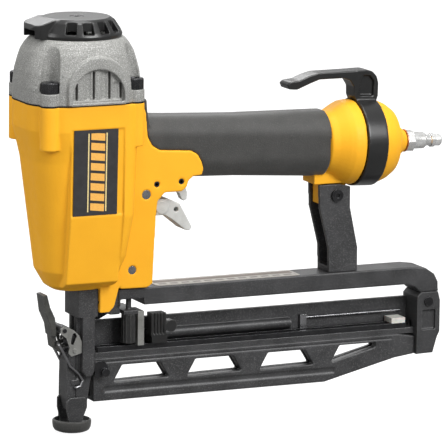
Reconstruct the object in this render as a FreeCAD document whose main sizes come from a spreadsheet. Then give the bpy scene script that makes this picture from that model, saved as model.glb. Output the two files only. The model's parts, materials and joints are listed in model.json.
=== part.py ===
import FreeCAD, Part
import math
import os
import re
import Sketcher

# A pneumatic brad nailer, in millimetres.
# Origin: on the drive line, where the no-mar pad meets the work. +Z runs up the drive line,
# +X runs back along the handle and magazine, and Y is across the tool.

Vector = FreeCAD.Vector
doc = FreeCAD.newDocument("brad_nailer")
sheet = doc.addObject("Spreadsheet::Sheet", "Sizes")

SIZES = {
    # drive line: piston, cylinder and blade
    "stroke": 84, "bumper_top": 132.5, "piston_height": 12, "piston_radius": 18.9,
    "cylinder_bore": 19, "cylinder_outer": 22, "cylinder_floor": 118, "cylinder_top": 230,
    "blade_tip": 84.5,
    # motor housing
    "flange_top": 240, "flange_bottom": 222, "flange_half_x": 43, "flange_half_y": 38,
    "flange_shift": 0.8, "flange_round": 28, "waist_z": 199, "waist_half_x": 36.6, "waist_half_y": 34,
    "barrel_low": 119, "barrel_low_half": 27.8, "barrel_base": 104.5, "chamber_radius": 33.5,
    "bolt_out": 32.2, "bolt_y": 29.2, "boss_radius": 7, "boss_top": 249.5, "bolt_radius": 4,
    "bolt_head_radius": 6.4, "bolt_head": 8,
    "panel_front": -17.8, "panel_rear": 22.2, "web_low_half": 15.2, "web_rear": 54.8, "web_base": 103,
    "lug_half": 20.4, "lug_low": 172, "pin_depth": 0.5,
    # head cap and deflector
    "gasket": 0.7, "cap_top": 285.2, "cap_bore": 30, "cap_bore_top": 262, "hood_x": 1.7,
    "hood_radius": 23, "hood_z": 251.6, "hood_face": 39.8, "grille_floor": 36.2,
    "deflector_radius": 32.3, "deflector_top": 299, "screw_seat": 296.2,
    # handle, tilted about Y
    "tilt": 2.33, "handle_z": 205.75, "core_half_y": 16.5, "core_half_z": 19.2, "air_bore": 13,
    "grip_front": 44, "grip_rear": 192, "grip_half_y": 19.8, "grip_half_z": 22.2,
    "collar_radius": 31, "collar_rear": 216, "hook_ring_outer": 32.2, "hook_ring_inner": 26.1,
    "hook_ring_rear": 232.6, "cap_spigot": 26.05, "hook_half": 7.5, "plug_end": 290,
    # trigger group
    "pivot_x": 46.7, "pivot_z": 171.3, "trigger_half": 8, "arm_half": 5, "slot_half": 5.6,
    "valve_x": 62.5, "valve_radius": 5.6, "stem_radius": 2, "bushing_low": 171.6,
    "lock_x": 73.8, "lock_z": 179.2, "lock_half": 3, "low_pin_x": 37.8, "low_pin_z": 116.8,
    "low_pin_radius": 3,
    # rear strut, beam and magazine
    "beam_top": 102.7, "beam_bottom": 90, "beam_half": 12, "beam_neck_half": 10.8,
    "strut_half": 10, "mag_near": -8, "mag_far": 4.5, "mag_slot": 1.5, "mag_top": 52.4,
    "mag_bottom": 21.3, "channel_far": 10, "channel_top": 77.5, "window_pitch": 57.6,
    # nose
    "nose_half": 13, "nose_core_half": 7.2, "door_half": 7, "hinge_x": -12, "hinge_z": 75.5,
    "latch_x": -9.5, "latch_z": 60.2, "bail_x": -15.5, "bail_z": 65.5, "bail_y": 9, "wire": 0.9,
    # contact trip
    "pad_x": -1.5, "pad_radius": 14, "exit_radius": 5.2, "rod_x": 39.5, "rod_y": -6, "rod_radius": 2,
    "knob_radius": 5.2, "spring_seat": 142,
}

for row, (alias, size) in enumerate(SIZES.items(), start=1):
    sheet.set(f"A{row}", alias)
    sheet.set(f"B{row}", str(size))
    sheet.setAlias(f"B{row}", alias)
doc.recompute()


# --- terms: a size is a number, a cell's name, or these joined by + and - ---

def formula(term):
    """The term as an expression on the sheet."""
    return re.sub(r"[a-z]\w*", lambda name: "Sizes." + name.group(), str(term))


def number(term):
    """What the term comes to now."""
    total = 0.0
    sign = 1.0
    for word in str(term).split():
        if word in ("+", "-"):
            sign = 1.0 if word == "+" else -1.0
            continue
        if word.startswith("-"):
            sign = -sign
            word = word[1:]
        total += sign * (SIZES[word] if word in SIZES else float(word))
        sign = 1.0
    return total


def less(high, low):
    """A term for high minus low."""
    flipped = re.sub(r"(?<![\w.])([+-]) ", lambda s: "~ " if s.group(1) == "+" else "+ ", str(low))
    flipped = flipped.replace("~", "-")
    if flipped.startswith("-"):
        return f"{high} + {flipped[1:]}"
    return f"{high} - {flipped}"


def bind(thing, prop, term):
    thing.setExpression(prop, formula(term))


def place(thing, x=0, y=0, z=0, turn=None):
    """Put a piece at x, y, z, after a turn given as (axis, degrees)."""
    rotation = FreeCAD.Rotation(Vector(*turn[0]), turn[1]) if turn else FreeCAD.Rotation()
    thing.Placement = FreeCAD.Placement(Vector(number(x), number(y), number(z)), rotation)
    for name, term in (("x", x), ("y", y), ("z", z)):
        bind(thing, f"Placement.Base.{name}", term)
    return thing


# --- Part primitives and booleans ---

AXIS_TURN = {"x": ((0, 1, 0), 90), "y": ((1, 0, 0), -90), "z": None}


def rod(name, axis, radius, start, end, x=0, y=0, z=0):
    """A cylinder along an axis from start to end, about the line through x, y, z."""
    piece = doc.addObject("Part::Cylinder", name)
    bind(piece, "Radius", radius)
    bind(piece, "Height", less(end, start))
    where = {"x": x, "y": y, "z": z}
    where[axis] = start
    return place(piece, where["x"], where["y"], where["z"], AXIS_TURN[axis])


def block(name, x, y, z):
    """A box from three (low, high) pairs."""
    piece = doc.addObject("Part::Box", name)
    for prop, (low, high) in (("Length", x), ("Width", y), ("Height", z)):
        bind(piece, prop, less(high, low))
    return place(piece, x[0], y[0], z[0])


def fuse(name, *pieces):
    joined = doc.addObject("Part::MultiFuse", name)
    joined.Shapes = list(pieces)
    return joined


def cut(name, base, *tools):
    tool = tools[0] if len(tools) == 1 else fuse(name + "_cutters", *tools)
    result = doc.addObject("Part::Cut", name)
    result.Base = base
    result.Tool = tool
    return result


def common(name, *pieces):
    shared = doc.addObject("Part::MultiCommon", name)
    shared.Shapes = list(pieces)
    return shared


def group(name, *pieces):
    """Separate solids that make one node, such as a set of screws."""
    several = doc.addObject("Part::Compound", name)
    several.Links = list(pieces)
    return several


# --- PartDesign bodies from sketches ---

TILTED = ((0, 1, 0), SIZES["tilt"])


def new_body(name, x=0, y=0, z=0, turn=None):
    return place(doc.addObject("PartDesign::Body", name), x, y, z, turn)


def sketch_on(body, plane, offset):
    sketch = body.newObject("Sketcher::SketchObject", body.Name + "_sketch")
    origin_plane = [f for f in body.Origin.OriginFeatures if f.Role == plane][0]
    sketch.AttachmentSupport = [(origin_plane, "")]
    sketch.MapMode = "FlatFace"
    bind(sketch, "AttachmentOffset.Base.z", offset)
    return sketch


def pin_down(sketch, kind, geometry, point, term):
    """Hold a point of the sketch at a term's distance from the origin."""
    index = sketch.addConstraint(Sketcher.Constraint(kind, -1, 1, geometry, point, number(term)))
    bind(sketch, f"Constraints[{index}]", term)


def draw_polygon(sketch, corners):
    points = [Vector(number(a), number(b), 0) for a, b in corners]
    first = sketch.GeometryCount
    count = len(points)
    for i in range(count):
        sketch.addGeometry(Part.LineSegment(points[i], points[(i + 1) % count]))
    for i in range(count):
        after = first + (i + 1) % count
        sketch.addConstraint(Sketcher.Constraint("Coincident", first + i, 2, after, 1))
    for i, (a, b) in enumerate(corners):
        pin_down(sketch, "DistanceX", first + i, 1, a)
        pin_down(sketch, "DistanceY", first + i, 1, b)


def draw_circle(sketch, a, b, radius):
    middle = Vector(number(a), number(b), 0)
    index = sketch.addGeometry(Part.Circle(middle, Vector(0, 0, 1), number(radius)))
    pin_down(sketch, "DistanceX", index, 3, a)
    pin_down(sketch, "DistanceY", index, 3, b)
    size = sketch.addConstraint(Sketcher.Constraint("Radius", index, number(radius)))
    bind(sketch, f"Constraints[{size}]", radius)


def draw_rounded(sketch, a, b, half_a, half_b, radius):
    """A rectangle about (a, b) with round corners, as four sides and four arcs."""
    low_a, high_a = number(a) - number(half_a), number(a) + number(half_a)
    low_b, high_b = number(b) - number(half_b), number(b) + number(half_b)
    r = number(radius)
    first = sketch.GeometryCount
    corners = [(high_a - r, low_b + r, -90), (high_a - r, high_b - r, 0),
               (low_a + r, high_b - r, 90), (low_a + r, low_b + r, 180)]
    ends = []
    for middle_a, middle_b, start in corners:
        angles = (math.radians(start), math.radians(start + 90))
        circle = Part.Circle(Vector(middle_a, middle_b, 0), Vector(0, 0, 1), r)
        sketch.addGeometry(Part.ArcOfCircle(circle, *angles))
        ends.append([Vector(middle_a + r * math.cos(t), middle_b + r * math.sin(t), 0) for t in angles])
    for i in range(4):
        sketch.addGeometry(Part.LineSegment(ends[i][1], ends[(i + 1) % 4][0]))
    for i in range(4):
        side = first + 4 + i
        sketch.addConstraint(Sketcher.Constraint("Tangent", first + i, 2, side, 1))
        sketch.addConstraint(Sketcher.Constraint("Tangent", side, 2, first + (i + 1) % 4, 1))
    for i in range(3):
        sketch.addConstraint(Sketcher.Constraint("Equal", first, first + i + 1))
    sketch.addConstraint(Sketcher.Constraint("Vertical", first + 4))
    sketch.addConstraint(Sketcher.Constraint("Horizontal", first + 5))
    size = sketch.addConstraint(Sketcher.Constraint("Radius", first, r))
    bind(sketch, f"Constraints[{size}]", radius)
    pin_down(sketch, "DistanceX", first + 4, 1, f"{a} + {half_a}")
    pin_down(sketch, "DistanceY", first + 5, 1, f"{b} + {half_b}")
    pin_down(sketch, "DistanceX", first + 6, 1, less(a, half_a))
    pin_down(sketch, "DistanceY", first + 7, 1, less(b, half_b))


def draw(sketch, outline):
    """Each loop is a list of corners, ("circle", a, b, r) or ("rounded", a, b, ha, hb, r)."""
    for loop in outline:
        if loop[0] == "circle":
            draw_circle(sketch, *loop[1:])
        elif loop[0] == "rounded":
            draw_rounded(sketch, *loop[1:])
        else:
            draw_polygon(sketch, loop)


def extrude(body, kind, plane, low, high, *outline):
    """Pad or pocket an outline between two heights along X, Y or Z."""
    flipped = plane == "XZ_Plane"       # this plane's normal is -Y
    start = less(0, high) if flipped else low
    sketch = sketch_on(body, plane, start)
    draw(sketch, outline)
    feature = body.newObject("PartDesign::" + kind, body.Name + "_" + kind.lower())
    feature.Profile = sketch
    bind(feature, "Length", less(high, low))
    feature.Reversed = kind == "Pocket"
    return feature


def prism(name, plane, low, high, *outline, at=(0, 0, 0), turn=None):
    body = new_body(name, *at, turn)
    extrude(body, "Pad", plane, low, high, *outline)
    return body


def turned(name, corners, axis="z", at=(0, 0, 0), turn=None):
    """A body of revolution; corners are (radius, along) pairs."""
    body = new_body(name, *at, turn)
    sketch = sketch_on(body, "XZ_Plane", 0)
    outline = corners if axis == "z" else [(along, radius) for radius, along in corners]
    draw_polygon(sketch, outline)
    spin = body.newObject("PartDesign::Revolution", name + "_spin")
    spin.Profile = sketch
    spin.ReferenceAxis = (sketch, ["V_Axis" if axis == "z" else "H_Axis"])
    spin.Angle = 360
    return body


def lofted(name, plane, sections, at=(0, 0, 0), turn=None):
    """A ruled loft through rounded rectangles: (height, a, b, half a, half b, radius)."""
    body = new_body(name, *at, turn)
    sketches = []
    for height, *shape in sections:
        sketch = sketch_on(body, plane, height)
        draw_rounded(sketch, *shape)
        sketches.append(sketch)
    loft = body.newObject("PartDesign::AdditiveLoft", name + "_loft")
    loft.Profile = sketches[0]
    loft.Sections = sketches[1:]
    loft.Ruled = True
    return body


def coil(name, radius, wire, low, high, turns, x=0, y=0):
    """A round-wire compression spring about a vertical line."""
    helix = doc.addObject("Part::Helix", name + "_path")
    bind(helix, "Radius", radius)
    bind(helix, "Height", less(less(high, low), f"{wire} + {wire}"))
    bind(helix, "Pitch", f"({less(less(high, low), f'{wire} + {wire}')}) / {turns}")
    section = doc.addObject("Part::Circle", name + "_wire")
    bind(section, "Radius", wire)
    place(section, radius, 0, 0, ((1, 0, 0), 90))
    spring = doc.addObject("Part::Sweep", name)
    spring.Sections = [section]
    spring.Spine = (helix, [])
    spring.Solid = True
    spring.Frenet = True
    return place(spring, x, y, f"{low} + {wire}")


NODES = {}


def node(name, piece):
    piece.Label = name
    NODES[name] = piece
    return piece


# --- motor housing: barrel, trigger web, handle core and collar in one casting ---

def barrel():
    """The tapered barrel, square with round corners, widest at the flange."""
    sections = [
        ("barrel_base", 0, 0, 17, 15, 12),
        ("barrel_base + 3", 0, 0, 21.5, 19.5, 16),
        ("barrel_low", 0, 0, "barrel_low_half", "barrel_low_half - 0.8", 22),
        ("waist_z", 0, 0, "waist_half_x", "waist_half_y", 24),
        ("waist_z + 8", 0, 0, "waist_half_x + 1.8", "waist_half_y + 1.2", 25),
        ("flange_bottom", "flange_shift", 0, "flange_half_x", "flange_half_y", "flange_round"),
        ("flange_top", "flange_shift", 0, "flange_half_x", "flange_half_y", "flange_round"),
    ]
    return lofted("barrel", "XY_Plane", sections)


def bolt_places():
    return [(f"flange_shift {sx} bolt_out", f"{sy}bolt_y") for sx in ("+", "-") for sy in ("", "-")]


def bolt_columns(name, low, high):
    return [rod(f"{name}_{i}", "z", "boss_radius", low, high, x, y)
            for i, (x, y) in enumerate(bolt_places())]


def handle_core():
    sections = [
        ("grip_front - 20", 0, 0, "core_half_z", "core_half_y", 12),
        ("collar_rear - 10", 0, 0, "core_half_z", "core_half_y", 15),
    ]
    # The loft's sketches lie on the body's XY plane, which the turn sets across the handle.
    return lofted("handle_core", "XY_Plane", sections, (0, 0, "handle_z"), HANDLE_TURN)


HANDLE_TURN = ((0, 1, 0), 90 + SIZES["tilt"])


def collar():
    return turned("collar", [
        (18, "grip_rear - 1"), (22.4, "grip_rear + 0.5"), (24.4, 197.5), (28.6, 204.5),
        (30.3, 208), ("collar_radius", 213), ("collar_radius", "collar_rear"), (18, "collar_rear"),
    ], "x", (0, 0, "handle_z"), TILTED)


def trigger_web():
    """The web between the barrel and the trigger, thinner towards its foot, and the lugs above it."""
    side = prism("web_side", "XZ_Plane", "-lug_half - 1", "lug_half + 1", [
        (10, 118), (22, 105), (29.5, 105.5), (29.5, "web_base + 0.5"), (50, "web_base"), (54, 106),
        ("web_rear", 155), (55.6, 166), (60.6, 171.6), (60, 190), (15, 200),
    ])
    front = prism("web_front", "YZ_Plane", 5, 65, [
        ("-web_low_half", 100), ("web_low_half", 100), ("lug_half", "lug_low"), ("lug_half", 205),
        ("-lug_half", 205), ("-lug_half", "lug_low")])
    lugs = prism("trigger_lugs", "XZ_Plane", "-lug_half", "lug_half", [
        (15, "lug_low"), (60.6, "lug_low"), (74.3, 172), (78, 175), (79.5, 179.5), (83, 182.5),
        (89.8, 183), (91, 187.5), (89.4, 193), (86.5, 198), (81.3, 201), (57, 202.8), (51, 206.5),
        (47.5, 213), (46, 230), (43, 239), (15, 239),
    ])
    return [common("web", side, front), lugs]


# The panel's face in Y and Z, from the badge's top edge down: its seat, a small step, the lower panel.
PANEL_FACE = [(37, 223.6), (35.07, 161.8), (35.8, 161.4), (28, 112)]


def side_panels():
    """Flat panels proud of the barrel on both sides, which carry the badges."""
    side = [("flange_half_y", 228)] + PANEL_FACE + [(20, 108)]
    mirrored = [(less(0, y), z) for y, z in reversed(side)]
    return prism("side_panels", "YZ_Plane", "panel_front", "panel_rear", side + mirrored)


def shoulders():
    """Full flanks behind the panels, level with the flange, that fade out towards the base."""
    sections = [
        (109, 11.6, 0, 9, 19.4, 8),
        (112, 12.6, 0, 11, 26.2, 9),
        (130, 17.4, 0, 12, 32.2, 10),
        (160, 21, 0, 12.4, 37.2, 11),
        ("flange_bottom", 22, 0, 14, "flange_half_y", 12),
        ("flange_top", 22, 0, 14, "flange_half_y", 12),
    ]
    return lofted("shoulders", "XY_Plane", sections)


def panel_recesses():
    """What is cut away outside each panel's face, so that the flanks stand proud behind it."""
    near = [(-y, z) for y, z in PANEL_FACE]
    return [prism("recess_far", "YZ_Plane", "panel_front - 0.4", "panel_rear",
                  PANEL_FACE + [(50, 112), (50, 223.6)]),
            prism("recess_near", "YZ_Plane", "panel_front - 0.4", "panel_rear",
                  near + [(-50, 112), (-50, 223.6)])]


def strut_boss():
    """The foot under the collar and the tongue that the strut's clevis holds."""
    return [
        block("boss_foot", (183.5, 213), (-10, 10), (168.6, 184)),
        block("boss_tongue", (190, 210), (-6.8, 6.8), (153, 169)),
    ]


def tongue_ears():
    """Two ears that reach down each side of the beam's neck."""
    outline = [(9, 112), (13.4, 104.6), (13.4, 87.3), (20.5, 87.3), (24.5, 91), (28.5, 106), (29, 116)]
    ears = [prism(f"tongue_{side}", "XZ_Plane", low, high, outline)
            for side, low, high in (("near", -15.5, "-beam_neck_half"), ("far", "beam_neck_half", 15.5))]
    return ears


def housing_cavities():
    bore = turned("cylinder_space", [
        (0, "barrel_base - 4"), (8, "barrel_base - 4"), (8, "cylinder_floor"),
        ("cylinder_outer", "cylinder_floor"), ("cylinder_outer", 136), (25, 140), (31, 198),
        ("chamber_radius", 206), ("chamber_radius", "flange_top + 4"), (0, "flange_top + 4"),
    ])
    air = turned("air_space", [
        (0, 24), ("air_bore", 24), ("air_bore", "collar_rear + 5"), (0, "collar_rear + 5"),
    ], "x", (0, 0, "handle_z"), TILTED)
    valve = rod("valve_space", "z", "valve_radius + 0.02", 160, 194, "valve_x")
    slot = block("trigger_slot", (37.8, 58.6), ("-slot_half", "slot_half"), (148, 177.6))
    slot_mouth = block("trigger_slot_mouth", (50, 62), ("-slot_half", "slot_half"), (148, 169.6))
    lock_slot = prism("lock_slot", "XZ_Plane", "-lock_half - 0.3", "lock_half + 0.3", [
        (69.4, 168), (69.4, 183), (76, 184.4), (84, 183), (88, 180.5), (88, 168)])
    trip_hole = rod("trip_hole", "z", "rod_radius + 0.6", 100, 163, "rod_x", "rod_y")
    pocket = block("web_pocket", (31, 49), (-11.5, 11.5), (100, "spring_seat"))
    pins = [
        rod("pivot_hole", "y", 3.25, -24, 24, "pivot_x", 0, "pivot_z"),
        rod("roll_hole", "y", 2, -24, 24, 54.7, 0, 178.3),
        rod("lock_hole", "y", 2, -24, 24, "lock_x", 0, "lock_z"),
        rod("low_pin_hole", "y", "low_pin_radius", -24, -11.6, "low_pin_x", 0, "low_pin_z"),
        rod("strut_hole", "y", 3, -8, 8, 201.6, 0, 159.8),
    ]
    ears = rod("ear_hole", "y", 2.5, -13.5, 20, 16, 0, 94.5)
    bolts = [rod(f"bolt_hole_{i}", "z", "bolt_radius", 222, 244, x, y)
             for i, (x, y) in enumerate(bolt_places())]
    return [bore, air, valve, slot, slot_mouth, lock_slot, trip_hole, pocket, ears,
            *pins, *bolts]


def housing():
    solid = fuse("housing_solid", barrel(), handle_core(), collar(), *trigger_web(), side_panels(),
                 shoulders(), *bolt_columns("column", 209, "flange_top"), *strut_boss(), *tongue_ears())
    above = block("above_flange", (-60, 60), (-60, 60), ("flange_top", 260))
    trimmed = cut("housing_trimmed", solid, above, *panel_recesses())
    node("housing", cut("housing", trimmed, *housing_cavities()))
    return trimmed


def grip(housing_solid):
    """A rubber sleeve over the handle core, with a lip that climbs the back of the barrel."""
    sections = [
        ("grip_front - 8", 0, 0, "grip_half_z + 0.6", "grip_half_y + 0.6", 14),
        (70, 0, 0, "grip_half_z", "grip_half_y", 14),
        (120, 0, 0, "grip_half_z - 0.2", "grip_half_y - 0.2", 14),
        ("grip_rear", 0, 0, "grip_half_z + 2", "grip_half_y + 1", 18),
    ]
    sleeve = lofted("grip_outside", "XY_Plane", sections, (0, 0, "handle_z"), HANDLE_TURN)
    lip = prism("grip_lip", "XZ_Plane", "-grip_half_y + 1", "grip_half_y - 1", [
        (38, 200), (49.8, 200), (49.8, 221), (48.8, 226), (47.9, 231), (47.4, 236),
        (47.1, "flange_top"), (38, "flange_top")])
    outside = fuse("grip_blank", sleeve, lip)
    node("grip_sleeve", cut("grip_sleeve", outside, housing_solid))


# --- head: gasket, cap, deflector and their screws ---

def gasket():
    sheet_shape = prism("gasket_sheet", "XY_Plane", "flange_top", "flange_top + gasket",
                        ("rounded", "flange_shift", 0, "flange_half_x", "flange_half_y", "flange_round"))
    pads = bolt_columns("gasket_pad", "flange_top", "flange_top + gasket")
    holes = [rod(f"gasket_hole_{i}", "z", "bolt_radius", 239, 242, x, y)
             for i, (x, y) in enumerate(bolt_places())]
    middle = rod("gasket_middle", "z", "chamber_radius", 239, 242)
    node("head_gasket", cut("head_gasket", fuse("gasket_blank", sheet_shape, *pads), middle, *holes))


SLOT = 1.6      # width of the grille's slots, and of the ribs beside them


def hoods():
    """A flat arch on each side of the cap, with a cove round its top, a sunk grille and four slots."""
    arches = [rod("hood_disc", "y", "hood_radius", "-hood_face", "hood_face", "hood_x", 0, "hood_z"),
              block("hood_foot", ("hood_x - hood_radius", "hood_x + hood_radius"),
                    ("-hood_face", "hood_face"), ("flange_top + gasket + 0.6", "hood_z"))]
    grille_area = block("grille_area", (-24, 26), (-46, 46), (243, 268))
    discs = [rod("grille_disc", "y", 19.6, low, high, "hood_x", 0, 246.4)
             for low, high in ((-46, "-grille_floor"), ("grille_floor", 46))]
    recess = common("grille_recess", fuse("grille_discs", *discs), grille_area)
    rounds = [rod("cove_round", "y", "hood_radius + 2.4", low, high, "hood_x", 0, "hood_z")
              for low, high in ((-50, "-hood_face + 3.4"), ("hood_face - 3.4", 50))]
    cores = rod("cove_core", "y", "hood_radius", -51, 51, "hood_x", 0, "hood_z")
    below = block("cove_below", (-40, 44), (-52, 52), (220, "hood_z + 6"))
    coves = cut("coves", fuse("cove_rounds", *rounds), cores, below)
    slots = []
    for i, (x, top) in enumerate(((-14.8, 256.6), (-1.8, 264.6), (10, 264), (18.6, 256))):
        slots.append(block(f"slot_near_{i}", (x, x + SLOT), (-38.4, -30.6), (244.2, top)))
        slots.append(block(f"slot_far_{i}", (x, x + SLOT), (30.6, 38.4), (244.2, top)))
        flute = (x - 5.4, x - SLOT)
        slots.append(block(f"flute_near_{i}", flute, (-38.4, "-grille_floor + 0.7"), (244.2, top)))
        slots.append(block(f"flute_far_{i}", flute, ("grille_floor - 0.7", 38.4), (244.2, top)))
    return arches, [recess, coves, *slots]


def head_cap():
    base = "flange_top + gasket"
    dome = lofted("dome", "XY_Plane", [
        (base, "flange_shift", 0, "flange_half_x", "flange_half_y", "flange_round"),
        (252, "flange_shift", 0, "flange_half_x - 0.2", "flange_half_y - 0.2", "flange_round"),
        (262, "flange_shift", 0, 41.8, 37.4, 28.4),
        (270, "flange_shift", 0, 40, 36.8, 29.4),
        (275.6, "flange_shift", 0, 38.6, 36.2, 30.4),
        (280.4, "flange_shift", 0, 36.4, 35.2, 32),
        (283.6, "flange_shift", 0, 34.4, 34.1, 33),
        ("cap_top", "flange_shift", 0, 32.6, 32.6, 32.2),
    ])
    bosses = bolt_columns("cap_boss", base, "boss_top")
    arches, openings = hoods()
    below = block("below_cap", (-60, 60), (-60, 60), (200, base))
    tools = [rod(f"tool_way_{i}", "z", "boss_radius + 0.1", "boss_top", 284, x, y)
             for i, (x, y) in enumerate(bolt_places())]
    holes = [rod(f"cap_hole_{i}", "z", "bolt_radius + 0.1", 238, 252, x, y)
             for i, (x, y) in enumerate(bolt_places())]
    inside = turned("cap_inside", [
        (0, 236), ("cap_bore", 236), ("cap_bore", "cap_bore_top"), (0, "cap_bore_top")])
    ports = [rod(f"port_{i}", "z", 5.5, 258, 290, x, y)
             for i, (x, y) in enumerate(((17, 0), (-17, 0), (0, 17), (0, -17)))]
    thread = rod("deflector_thread", "z", 2, 274, 290, "flange_shift")
    node("head_cap", cut("head_cap", fuse("cap_blank", dome, *bosses, *arches), *openings, *tools,
                         *holes, inside, *ports, thread, below))


LOUVRES = 15
LOUVRE_PITCH = 360 / LOUVRES
SPOUT_CLEAR = 50        # degrees each side of the spout without louvres


def deflector():
    """A hollow cover with louvres round its shoulder and one wide spout at the front."""
    shell = turned("deflector_shell", [
        (2.2, "cap_top + 0.1"), (6.5, "cap_top + 0.1"), (8, 293.6), (24, 293), (28.6, "cap_top + 0.1"),
        (31.8, "cap_top + 0.1"), ("deflector_radius", 287.4), (31.2, 290), (27, 296.4),
        (23.4, "deflector_top"), (4.9, "deflector_top"), (4.9, "screw_seat"), (2.2, "screw_seat"),
    ], "z", ("flange_shift", 0, 0))
    side = prism("spout_side", "XZ_Plane", -15, 15, [
        (-8, "deflector_top - 0.2"), (-23, "deflector_top - 0.4"), (-35, 294.8), (-37, 292), (-37, 287.4),
        (-35, "cap_top + 0.3"), (-26, "cap_top + 0.3"), (-24, 293), (-8, 294)])
    spout = common("spout", side, rod("spout_round", "z", 25.5, 284, 302, -12))
    mouth = block("spout_mouth", (-44, -25), (-10, 10), (284, 291.4))
    louvres = []
    for i in range(LOUVRES):
        if abs(LOUVRE_PITCH * i - 180) > SPOUT_CLEAR:
            turn = ((0, 0, 1), LOUVRE_PITCH * i)
            louvres.append(prism(f"louvre_{i}", "XY_Plane", 289.2, 297.6, [
                (25.4, -3.6), (34, -4.2), (34, 4.2), (25.4, 3.6)], at=("flange_shift", 0, 0), turn=turn))
    blank = fuse("deflector_blank", shell, spout)
    node("exhaust_deflector", cut("exhaust_deflector", blank, mouth, *louvres))
    head = rod("deflector_screw_head", "z", 4.4, "screw_seat + 0.05", "screw_seat + 2.5", "flange_shift")
    shank = rod("deflector_screw_shank", "z", 2, 276, "screw_seat + 0.1", "flange_shift")
    socket = rod("deflector_screw_socket", "z", 1.8, "screw_seat + 1", 302, "flange_shift")
    node("deflector_screw", cut("deflector_screw", fuse("deflector_screw_blank", head, shank), socket))


def cap_screw(i, x, y):
    """A socket-head cap screw standing on a head-cap boss."""
    head = rod(f"screw_head_{i}", "z", "bolt_head_radius", "boss_top", "boss_top + bolt_head", x, y)
    shank = rod(f"screw_shank_{i}", "z", "bolt_radius", 224, "boss_top", x, y)
    socket = rod(f"screw_socket_{i}", "z", 3.3, "boss_top + 4", "boss_top + 9", x, y)
    return cut(f"cap_screw_{i}", fuse(f"screw_blank_{i}", head, shank), socket)


# --- motor: cylinder, piston, blade, bumper and head valve ---

def motor():
    node("cylinder_sleeve", turned("cylinder_sleeve", [
        ("cylinder_bore", "cylinder_floor"), ("cylinder_outer", "cylinder_floor"),
        ("cylinder_outer", "cylinder_top"), ("cylinder_bore", "cylinder_top")]))
    node("bumper", turned("bumper", [
        (4.5, "cylinder_floor"), ("piston_radius - 0.1", "cylinder_floor"), ("piston_radius - 0.1", 126),
        (16, "bumper_top"), (6, "bumper_top"), (4.5, 130)]))
    low = "bumper_top + stroke + 0.1"
    node("piston", turned("piston", [
        (0, low), ("piston_radius - 2", low), ("piston_radius", f"{low} + 2"),
        ("piston_radius", f"{low} + 4.4"),
        ("piston_radius - 2.2", f"{low} + 4.4"), ("piston_radius - 2.2", f"{low} + 7.6"),
        ("piston_radius", f"{low} + 7.6"), ("piston_radius", f"{low} + piston_height"),
        (0, f"{low} + piston_height")]))
    node("piston_ring", turned("piston_ring", [
        ("piston_radius - 2.15", f"{low} + 4.5"), ("cylinder_bore - 0.03", f"{low} + 4.5"),
        ("cylinder_bore - 0.03", f"{low} + 7.5"), ("piston_radius - 2.15", f"{low} + 7.5")]))
    node("driver_blade", block("driver_blade", (-0.7, 0.7), (-1.5, 1.5), ("blade_tip", low)))
    node("head_valve", turned("head_valve", [
        (9, 230.6), (29.9, 230.6), (29.9, 235), (28, 235), (28, 238.4), (29.9, 238.4), (29.9, 242),
        (14, 242), (12, 246), (9, 246)]))
    node("head_valve_ring", turned("head_valve_ring", [
        (28.1, 235.2), ("cap_bore - 0.03", 235.2), ("cap_bore - 0.03", 238.2), (28.1, 238.2)]))
    node("head_valve_spring", coil("head_valve_spring", 20, 0.8, 242.1, "cap_bore_top - 0.1", 4))


# --- trigger, its valve, and the lock lever ---

def trigger():
    finger = prism("finger", "XZ_Plane", "-trigger_half", "trigger_half", [
        (60, 165.7), (69.9, 164.8), (77.9, 161.1), (87.8, 143.4), (85.6, 140.9), (82.4, 141.6),
        (72, 150), (66.5, 153.4), (59.6, 153.4)])
    arm = prism("trigger_arm", "XZ_Plane", "-arm_half", "arm_half", [
        (43.6, 167.2), (50, 160), (59, 154.2), (62, 158), (62, 165), (50.5, 175)])
    eye = rod("trigger_eye", "y", 5.1, "-arm_half", "arm_half", "pivot_x", 0, "pivot_z")
    discs = [rod("trigger_disc", "y", 4.9, "-trigger_half - 0.6", "trigger_half + 0.6", 64.2, 0, 159.2)]
    bore = rod("trigger_bore", "y", 3.3, -9, 9, "pivot_x", 0, "pivot_z")
    hole = rod("trigger_hole", "y", 1.7, -9, 9, 75.2, 0, 157.1)
    node("trigger", cut("trigger", fuse("trigger_blank", finger, arm, eye, *discs), bore, hole))
    node("trigger_pin", rod("trigger_pin", "y", 3.25, "-lug_half + pin_depth", "lug_half - pin_depth",
                            "pivot_x", 0, "pivot_z"))


def roll_pin(name, x, z, half):
    tube = rod(name + "_outside", "y", 2, less(0, half), half, x, 0, z)
    return cut(name, tube, rod(name + "_inside", "y", 1.2, -24, 24, x, 0, z))


def lock_lever():
    arm = prism("lock_arm", "XZ_Plane", "-lock_half", "lock_half", [
        (71.6, 176.6), (76.4, 170.4), (79.8, 167.6), (81.6, 163.4), (83.4, 162), (85.6, 163),
        (86, 168), (83.6, 173.4), (76.4, 181.6)])
    eye = rod("lock_eye", "y", 3.4, "-lock_half", "lock_half", "lock_x", 0, "lock_z")
    bore = rod("lock_bore", "y", 2.05, -5, 5, "lock_x", 0, "lock_z")
    node("lock_lever", cut("lock_lever", fuse("lock_blank", arm, eye), bore))
    node("lock_pin", roll_pin("lock_pin", "lock_x", "lock_z", "lug_half - pin_depth"))
    node("valve_pin", roll_pin("valve_pin", 54.7, 178.3, "lug_half - pin_depth"))
    node("dowel_pin", rod("dowel_pin", "y", "low_pin_radius", -16, -11.6, "low_pin_x", 0, "low_pin_z"))


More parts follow.
